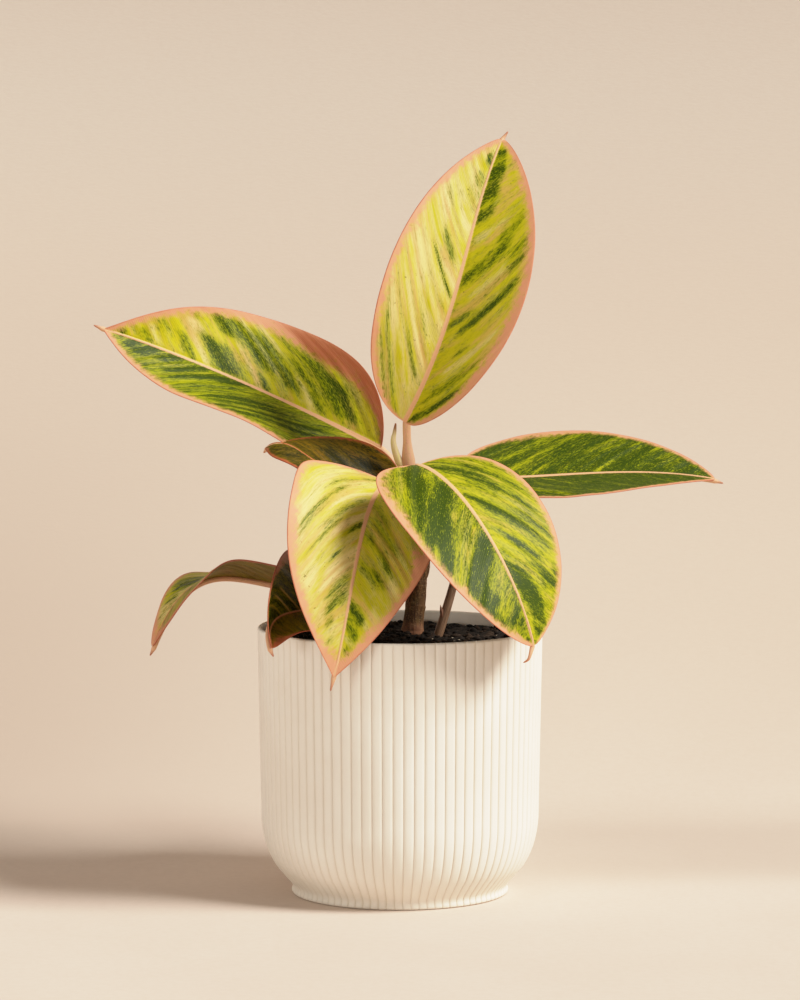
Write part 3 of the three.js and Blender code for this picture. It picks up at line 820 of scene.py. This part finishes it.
def bladeRows(leaf):
    # For each row of the blade: its frame, how far along the leaf it lies and both half widths.
    p = bladeSize
    rows = []
    along = 0
    for i in range(p["rows"] + 1):
        u = i / p["rows"]
        s = mixed(*p["ends"], u * u * (2 - u))
        middle, side, face = bladeFrame(leaf, s)
        along += (middle - rows[-1]["middle"]).length if rows else 0
        row = {"s": s, "middle": middle, "side": side, "face": face, "along": along, "halves": []}
        for half in (0, 1):
            width = leaf["width"][half] * outline(s, leaf["widest"][half], leaf["full"][half])
            fold = math.radians(mixed(leaf["fold"][0][half], leaf["fold"][1][half], s))
            row["halves"].append((max(width, p["leastHalfWidth"]), fold, math.radians(leaf["curl"][half])))
        rows.append(row)
    return rows


def bladePoint(row, t, lift):
    width, fold, curl = row["halves"][0 if t < 0 else 1]
    turned = fold + curl * abs(t)
    out = width * (math.sin(turned) - math.sin(fold)) / curl
    up = width * (math.cos(fold) - math.cos(turned)) / curl
    tilt = turned * eased(abs(t) * width, 0, 2)  # the two halves meet in a soft valley
    sign = 1 if t > 0 else -1
    return (
        row["middle"]
        + row["side"] * (sign * (out - lift * math.sin(tilt)))
        + row["face"] * (up + lift * math.cos(tilt))
    )


def ribHalf(leaf, s):
    return mixed(leaf["petioleRadii"][1] * 0.8, 0.5, min(s * 1.15, 1) ** 0.8)


def veinPlace(leaf, row, t, length):
    # Where the side vein through this point leaves the midrib, as a share of the blade's length.
    p = bladeSize
    half = 0 if t < 0 else 1
    across = abs(t) * row["halves"][half][0]
    back = p["veinSlope"] * across + p["veinBend"] * across**2 / max(leaf["width"])
    return (row["along"] - leaf["lean"][half] * back) / length


def streaks(marks, half, vein, t, length):
    total = 0
    for start, side, near, far, breadth, strength in marks:
        off = (vein - start) * length / (breadth * bladeSize["streakBreadth"])
        if side == half and abs(off) < 3:
            reach = eased(abs(t), near - 0.1, near + 0.06) * eased(abs(t), far + 0.12, far - 0.08)
            total += strength * reach * math.exp(-off * off)
    return total


def bladeCell(leaf, row, t, length, seed):
    # What both faces share at one point: the lift off the middle surface and the marks there.
    p = bladeSize
    width = row["halves"][0 if t < 0 else 1][0]
    across = abs(t) * width
    vein = veinPlace(leaf, row, t, length)
    half = -1 if t < 0 else 1
    side = 0 if t < 0 else 1
    ripple = noise.noise(Vector((vein * length / p["ripplePitch"], seed * 3.1, half * 5)))
    broad = eased(across, 1, 6) * eased(width - across, 0, 7)
    wave = noise.noise(Vector((row["along"] / p["wavePitch"], seed * 1.7, half * 3)))
    phase = 2 * math.pi * vein * length / p["swellPitch"] + p["swellDrift"] * ripple
    lift = p["swell"] * math.sin(phase) * broad * (1 + p["swellChange"] * ripple)
    lift += p["edgeWave"] * wave * abs(t) ** 4 * eased(width, 2, 12)
    rib = ribHalf(leaf, row["s"])
    ridge = p["ridge"] * hump(across, 0, rib * 0.75) - p["furrow"] * hump(across, rib * 1.7, rib * 0.6)
    paints = [leaf[key][side] for key in ("darkness", "paleness", "margin")]
    for k, (key, strength) in enumerate((("dark", 1), ("pale", 1), ("blush", 10))):
        paints[k] += strength * streaks(leaf[key], half, vein, t, length)
    # the brown tint: partly pigment, partly painted shade
    brown = leaf["brownAndShade"][side] + streaks(leaf["brown"], half, vein, t, length)
    return {
        "lift": lift,
        "ridge": ridge * eased(width, 2, 8),
        "place": Vector((row["along"], t * width, width - across)),
        "flow": Vector((vein * length + seed * 40, across, rib)),
        "paint": Vector(paints),
        "brown": brown,
    }


def columnPlace(j):  # close together at the midrib and at the edge
    x = 2 * j / bladeSize["columns"] - 1
    even = abs(x)
    return math.copysign(0.4 * even + 0.6 * even * even * (3 - 2 * even), x)


def makeBlade(bm, leaf, layers, seed):
    p = bladeSize
    rows = bladeRows(leaf)
    length = rows[-1]["along"]
    places = [columnPlace(j) for j in range(p["columns"] + 1)]
    cells = [[bladeCell(leaf, row, t, length, seed) for t in places] for row in rows]
    for face, sign in ((0, 1), (1, -1)):
        made = bmesh.ops.create_grid(bm, x_segments=p["columns"], y_segments=p["rows"], size=1)["verts"]
        for v in made:
            i = round((v.co.y + 1) / 2 * p["rows"])
            j = round((v.co.x + 1) / 2 * p["columns"])
            cell = cells[i][j]
            lift = cell["lift"]
            if 0 < i < p["rows"] and 0 < j < p["columns"]:
                lift += sign * p["halfThick"]
            if sign > 0:
                lift += cell["ridge"]
            v.co = bladePoint(rows[i], places[j], lift)
            for key in ("place", "flow", "paint", "brown"):
                v[layers[key]] = cell[key]
        for madeFace in {f for v in made for f in v.link_faces}:
            madeFace.material_index = face
    bmesh.ops.remove_doubles(bm, verts=bm.verts, dist=0.002)


def makeLeaf(name, node, materials, seed):
    leaf = {**plainLeaf, **leaves[node]}
    bm = bmesh.new()
    layers = {
        "place": bm.verts.layers.float_vector.new("leafPlace"),
        "flow": bm.verts.layers.float_vector.new("leafFlow"),
        "paint": bm.verts.layers.float_vector.new("leafPaint"),
        "brown": bm.verts.layers.float.new("leafBrownAndShade"),
    }
    makeBlade(bm, leaf, layers, seed)
    makeRib(bm, leaf, layers, seed)
    finishPiece(name, bm, materials, "leaf", node)


def makeRib(bm, leaf, layers, seed):
    # The petiole, the midrib under the blade and the drip tip are one tapered stalk.
    p = ribSize
    rootRadius, petioleRadius = leaf["petioleRadii"]
    points = []
    radii = []

    def under(s, radius):
        middle, _, face = bladeFrame(leaf, s)
        return middle + face * (p["lift"] - radius)

    petiole = [*leaf["petiole"], under(0, petioleRadius)]
    for i in range(p["petioleSteps"]):
        share = i / p["petioleSteps"]
        points.append(curvePoint(petiole, share)[0])
        slim = eased(share, leaf["sheathEnd"] - 0.2, leaf["sheathEnd"] + 0.1)
        radii.append(mixed(rootRadius, petioleRadius, slim))
    for i in range(p["bladeSteps"] + 1):
        s = i / p["bladeSteps"]
        radius = mixed(petioleRadius, p["tipRadius"], s**0.7)
        points.append(under(s, radius))
        radii.append(radius)
    last = points[-1]
    for i in range(1, p["dripSteps"] + 1):
        share = i / p["dripSteps"]
        points.append(splinePoint([last, leaf["drip"], *leaf["hook"]], share))
        radii.append(mixed(p["tipRadius"], p["dripRadius"], share**0.8))
    radii[0] = radii[-1] = 0
    total = len(points) - 1
    begin = p["petioleSteps"]

    def section(share, turn):
        i = share * total
        ridges = 0.02 * math.sin(7 * turn + seed) * eased(i, begin, begin - 10)
        return 1 + ridges + 0.03 * noise.noise(Vector((math.cos(turn), math.sin(turn), i * 0.15 + seed)))

    def mark(v, i, turn):
        woody = leaf["woody"] * eased(min(i / begin, 1), 1, 0.3)
        v[layers["place"]] = Vector((i * 1.5, turn * 3, 0))
        v[layers["paint"]] = Vector((woody, eased(i, total - 8, total), 0))

    before = set(bm.faces)
    rollTube(bm, pathFrames(points, radii), p["sides"], section, mark)
    if "tear" in leaf:  # a torn strip of the sheath stands off the petiole

        def markTear(v, i, turn):
            v[layers["place"]] = Vector((i, turn * 3, 0))
            v[layers["paint"]] = Vector((leaf["woody"], 0.3, 0))

        strip = [splinePoint(leaf["tear"], i / p["tearSteps"]) for i in range(p["tearSteps"] + 1)]
        slim = [p["tearRadius"] * math.sin(math.pi * i / p["tearSteps"]) for i in range(p["tearSteps"] + 1)]
        rollTube(bm, pathFrames(strip, slim), p["sides"], None, markTear)
    for face in set(bm.faces) - before:
        face.material_index = 2


# Leaf finishes: both faces share one pattern of streaks and speckles that runs along the side veins

def leafPattern(f):
    along, across, edge = f.attribute("leafPlace").parts()
    vein, reach, rib = f.attribute("leafFlow").parts()
    dark, pale, margin = f.attribute("leafPaint").parts()
    half = across.side() * 9
    cloud = f.noise(f.vector(vein, reach * 0.6, half), 0.14, 3, 0.6, 0.6)
    return {
        "edge": edge, "reach": reach, "rib": rib, "dark": dark, "pale": pale, "margin": margin,
        "brown": f.attribute("leafBrownAndShade", "Fac"),
        "cloud": cloud,
        "warm": f.noise(f.vector(vein + 300, reach * 0.4, half), 0.12, 3, 0.6, 0.5),
        "fleck": f.noise(f.vector(vein, reach * 0.33, half), 0.42, 3, 0.62, 0.4),
        "speck": f.noise(f.vector(vein, reach * 0.6, half), 1.3, 2, 0.7),
        "grain": f.noise(f.vector(along, across, half), 2.2, 2, 0.6),
        "spots": f.noise(f.vector(along, across, half), 0.36, 2, 0.6),
        "veins": (vein * 4.4 + cloud * 9).wave(),
    }


def leafColour(f, m, colours):
    fine = (m["speck"] - 0.5) * 2.6
    soft = m["dark"] + (m["fleck"] - 0.5) * 1.15 + (m["cloud"] - 0.5) * 1.2
    green = (soft + fine * 0.35).step(0, 0.85)
    deep = (soft + fine).step(0.55, 1.2)
    cream = (m["pale"] + (m["cloud"] - 0.5) * 1.6 + (m["fleck"] - 0.5) * 0.9).step(0.15, 0.95)
    colour = f.mix(cream, colours["lime"], colours["cream"])
    colour = f.mix((m["warm"] + fine * 0.06).step(0.47, 0.68) * 0.6, colour, colours["blush"])
    colour = f.mix(green * 0.85, colour, colours["green"])
    dots = (m["spots"] + (m["grain"] - 0.5) * 0.2).step(0.7, 0.74) * 0.6
    colour = f.mix(deep.most(dots), colour, colours["deep"])
    flecks = (m["speck"] + m["veins"] * 0.05).step(0.58, 0.74) * (0.15 + deep * 0.5)
    colour = f.mix(flecks, colour, colours["fleck"])
    inner = m["edge"] / m["margin"] + (m["spots"] - 0.5) * 2.2 + (m["speck"] - 0.5) * 1.4
    colour = f.mix(inner.step(2.4, 0.7) * 0.65, colour, colours["blush"])
    colour = f.mix((inner + (m["grain"] - 0.5) * 0.8).step(1.5, 0.5) * 0.9, colour, colours["margin"])
    colour = f.mix((m["edge"] + (m["spots"] - 0.5) * 0.9).step(0.75, 0.2) * 0.6, colour, colours["rim"])
    middle = (m["reach"] - m["rib"] + (m["speck"] - 0.5) * 0.7).step(0.35, -0.3)
    colour = f.mix(middle, colour, colours["midrib"])
    # the brown tint is multiplied in: partly pigment, partly painted shade
    return f.mix((m["brown"] + (m["fleck"] - 0.5) * 0.5).step(0, 1), colour, colours["brown"], "MULTIPLY")


faceLooks = {
    "upper leaf face": {
        "colours": {
            "lime": (188, 180, 30), "cream": (230, 206, 132), "blush": (210, 158, 98),
            "green": (116, 130, 2), "deep": (50, 67, 0), "fleck": (152, 164, 26),
            "margin": (222, 148, 118), "rim": (186, 100, 80), "midrib": (232, 172, 130),
            "brown": (180, 140, 112),
        },
        "veinRelief": 0.15,
        "speckRelief": 0.45,
        "relief": 0.35,
        "roughness": 0.4,
    },
    "under leaf face": {
        "colours": {
            "lime": (140, 128, 52), "cream": (166, 142, 88), "blush": (160, 120, 80),
            "green": (108, 106, 38), "deep": (66, 68, 22), "fleck": (160, 150, 100),
            "margin": (190, 126, 102), "rim": (164, 88, 70), "midrib": (194, 144, 108),
            "brown": (196, 140, 100),
        },
        "veinRelief": 0.5,
        "speckRelief": 0.3,
        "relief": 0.45,
        "roughness": 0.5,
    },
}


def faceFinish(name):
    p = faceLooks[name]
    f = Finish(name)
    m = leafPattern(f)
    colour = leafColour(f, m, {key: tint(*value) for key, value in p["colours"].items()})
    height = m["veins"] * p["veinRelief"] + m["speck"] * p["speckRelief"]
    normal = f.bump(height, p["relief"], 0.0003)
    return f.surface(colour, p["roughness"] + m["grain"] * 0.14, normal, shine=0.12)


def stalkFinish():
    f = Finish("leaf stalk")
    along, around, _ = f.attribute("leafPlace").parts()
    woody, tip, _ = f.attribute("leafPaint").parts()
    fibre = f.noise(f.vector(along * 0.08, around, 0), 2.2, 3, 0.6)
    speckle = f.noise(f.coordinates(), 1500, 2, 0.5)
    colour = f.mix(fibre.step(0.3, 0.75), tint(228, 160, 134), tint(206, 168, 112))
    colour = f.mix(woody, colour, f.mix(fibre.step(0.35, 0.7), tint(104, 78, 58), tint(150, 120, 98)))
    colour = f.mix(speckle.step(0.58, 0.66) * 0.3, colour, tint(148, 112, 78))
    colour = f.mix(tip * 0.8, colour, tint(150, 70, 52))
    return f.surface(colour, 0.42 + fibre * 0.15, f.bump(fibre, 0.35, 0.0004), shine=0.45)


# The narrow new leaf, still rolled, that stands in the sheath of the top leaf

shootSize = {
    "middle": [(4.5, 10, 204), (-0.5, 8.5, 212), (-3.2, 7.3, 221), (-2.6, 6.8, 227), (-2.1, 6.5, 231)],
    "radii": [1.4, 2, 1.4, 0.9, 0.4],
    "steps": 70,
    "sides": 26,
}


def makeShoot(material):
    p = shootSize
    bm = bmesh.new()
    points = [splinePoint(p["middle"], i / p["steps"]) for i in range(p["steps"] + 1)]
    radii = [listPlace(p["radii"], i / p["steps"]) for i in range(p["steps"] + 1)]
    radii[0] = radii[-1] = 0

    def section(share, turn):  # a rolled edge runs round it in a slow turn
        lap = (turn - 4.2 * share) % (2 * math.pi)
        return 1 - 0.16 * eased(lap, 0.5, 0) + 0.02 * math.sin(9 * turn)

    rollTube(bm, pathFrames(points, radii), p["sides"], section)
    finishPiece("newShoot", bm, [material], "leaf")


def shootFinish():
    f = Finish("rolled new leaf")
    place = f.coordinates()
    x, y, z = place.parts()
    fibre = f.noise(f.vector(x, y, z * 0.08), 1600, 3, 0.6)
    colour = f.mix(fibre.step(0.35, 0.7), tint(206, 190, 124), tint(226, 196, 158))
    colour = f.mix(z.step(0.224, 0.23), colour, tint(132, 84, 54))
    return f.surface(colour, 0.45 + fibre * 0.1, f.bump(fibre, 0.3, 0.0003), shine=0.4)


# The stage, in metres: a pale sweep with painted shade and shadow, soft light from the right and a weak fill

stageSize = {
    "width": 6,
    "front": -3,
    "bend": 0.055,
    "bendRadius": 0.62,
    "top": 3,
    "keyTurn": 20,  # degrees in front of the right side
    "keyHeight": 43,
    "keyPower": 5.1,
    "keySpread": 22,
    "keyColour": (1, 0.98, 0.95),
    "air": (1, 0.98, 0.95),
    "airStrength": 0.28,
    "fillPlace": (-1.1, -1.0, 0.16),
    "fillAim": (-0.02, 0, 0.1),
    "fillPower": 6.5,
    "fillWidth": 0.5,
    "fillColour": (1, 0.97, 0.93),
    "cameraPlace": (0, -2, 0.375),
    "cameraPitch": 5.18,
    "cameraLens": 147.6,
    "sensor": 36,
    "brightest": 2.4,
    "shoulder": [(0, 0), (0.25, 0.6), (0.333, 0.74), (0.417, 0.83), (0.583, 0.92), (0.833, 0.985), (1, 1)],
    "warmth": (0.975, 0.93, 0.865),
}


def makeSweep(material):
    p = stageSize
    bm = bmesh.new()
    made = bmesh.ops.create_grid(bm, x_segments=2, y_segments=60, size=1)["verts"]
    arc = math.pi / 2 * p["bendRadius"]
    reach = p["bend"] - p["front"]
    total = reach + arc + p["top"]
    for v in made:
        x = v.co.x * p["width"] / 2
        run = (v.co.y + 1) / 2 * total
        if run < reach:
            v.co = (x, p["front"] + run, 0)
        elif run < reach + arc:
            turn = (run - reach) / p["bendRadius"]
            v.co = (x, p["bend"] + p["bendRadius"] * math.sin(turn), p["bendRadius"] * (1 - math.cos(turn)))
        else:
            v.co = (x, p["bend"] + p["bendRadius"], p["bendRadius"] + run - reach - arc)
    for face in bm.faces:
        face.smooth = True
    mesh = bpy.data.meshes.new("sweep")
    bm.to_mesh(mesh)
    bm.free()
    mesh.materials.append(material)
    sweep = bpy.data.objects.new("sweep", mesh)
    bpy.context.scene.collection.objects.link(sweep)


def sweepFinish():
    f = Finish("pale sweep")
    place = f.coordinates()
    x, y, z = place.parts()
    cloud = f.noise(place, 9, 5, 0.6)
    weave = f.noise(f.vector(x, y, z * 3), 240, 3, 0.6)
    near = f.mix(cloud.step(0.3, 0.7), tint(211, 194, 182), tint(214, 198, 186))
    # painted shade: the back of the sweep is darker than the floor, and higher up a little lighter again
    colour = f.mix(y.step(0.03, 0.4), near, tint(199, 182, 168))
    colour = f.mix(z.step(0.25, 0.42), colour, tint(202, 189, 177))
    shade = z.step(0.34, 0.0) * y.step(0.06, 0.15) * x.step(0.1, -0.3)  # painted shadow of the plant, darker towards the lower left corner
    colour = f.mix(shade * 0.6, colour, tint(150, 133, 119))
    paintedBendShade = y.step(0.0, 0.07) * y.step(0.2, 0.12) * x.step(-0.05, 0.12)  # painted shade along the floor's turn, right side
    colour = f.mix(paintedBendShade * 0.4, colour, tint(160, 146, 134))
    colour = f.mix(weave.step(0.35, 0.7) * 0.12, colour, tint(184, 167, 152))
    f.surface(colour, 0.9, f.bump(weave, 0.15, 0.0006), shine=0.15)
    behind = f.node("NewGeometry", {}, {}, "Backfacing")  # clear from behind, for back views
    clear = f.node("BsdfTransparent", {}, {})
    shown = f.node("MixShader", {}, {0: behind, 1: Wire(f, f.shader.outputs[0]), 2: clear})
    f.fill(f.tree.nodes["Material Output"], {"Surface": shown})
    return f.material


def addKey():
    p = stageSize
    light = bpy.data.lights.new("key", "SUN")
    light.energy = p["keyPower"]
    light.angle = math.radians(p["keySpread"])
    light.color = p["keyColour"]
    lamp = bpy.data.objects.new("key", light)
    lamp.rotation_euler = (math.radians(90 - p["keyHeight"]), 0, math.radians(90 - p["keyTurn"]))
    bpy.context.scene.collection.objects.link(lamp)


def addFill():
    p = stageSize
    light = bpy.data.lights.new("fill", "AREA")
    light.energy = p["fillPower"]
    light.size = p["fillWidth"]
    light.color = p["fillColour"]
    lamp = bpy.data.objects.new("fill", light)
    lamp.location = p["fillPlace"]
    lamp.rotation_euler = (Vector(p["fillAim"]) - Vector(p["fillPlace"])).to_track_quat("-Z", "Y").to_euler()
    bpy.context.scene.collection.objects.link(lamp)


def addCamera():
    p = stageSize
    camera = bpy.data.cameras.new("view")
    camera.sensor_fit = "VERTICAL"
    camera.sensor_height = p["sensor"]
    camera.lens = p["cameraLens"]
    holder = bpy.data.objects.new("view", camera)
    holder.location = p["cameraPlace"]
    holder.rotation_euler = (math.radians(90 - p["cameraPitch"]), 0, 0)
    bpy.context.scene.collection.objects.link(holder)
    bpy.context.scene.camera = holder


def addAir():
    world = bpy.data.worlds.new("air")
    world.use_nodes = True
    back = world.node_tree.nodes["Background"]
    back.inputs["Color"].default_value = (*stageSize["air"], 1)
    back.inputs["Strength"].default_value = stageSize["airStrength"]
    bpy.context.scene.world = world


def gradeView():  # highlights roll off softly and stay a little warm, as in the photograph
    p = stageSize
    view = bpy.context.scene.view_settings
    view.view_transform = "Standard"
    view.use_curve_mapping = True
    mapping = view.curve_mapping
    mapping.white_level = (p["brightest"],) * 3
    shoulder = mapping.curves[3].points
    for place, value in p["shoulder"][1:-1]:
        shoulder.new(place, value)
    for channel, warmth in enumerate(p["warmth"]):
        mapping.curves[channel].points[-1].location = (1, warmth)
    mapping.update()


print("pot and soil")
makePot(potFinish())
makeSoil(soilFinish())
makeCrumbs(crumbFinish())

print("stem and leaves")
makeStem(barkFinish())
leafMaterials = [faceFinish("upper leaf face"), faceFinish("under leaf face"), stalkFinish()]
leafNames = {
    "leaf_top": "topLeaf",
    "leaf_left": "leftLeaf",
    "leaf_small": "smallLeaf",
    "leaf_front_left": "frontLeftLeaf",
    "leaf_front_right": "frontRightLeaf",
    "leaf_right": "rightLeaf",
    "leaf_low_left": "lowLeftLeaf",
    "leaf_low_dark": "lowDarkLeaf",
}
for count, (node, name) in enumerate(leafNames.items()):
    makeLeaf(name, node, leafMaterials, count + 1)
makeShoot(shootFinish())

print("stage, light and camera")
makeSweep(sweepFinish())
addKey()
addFill()
addCamera()
addAir()
gradeView()
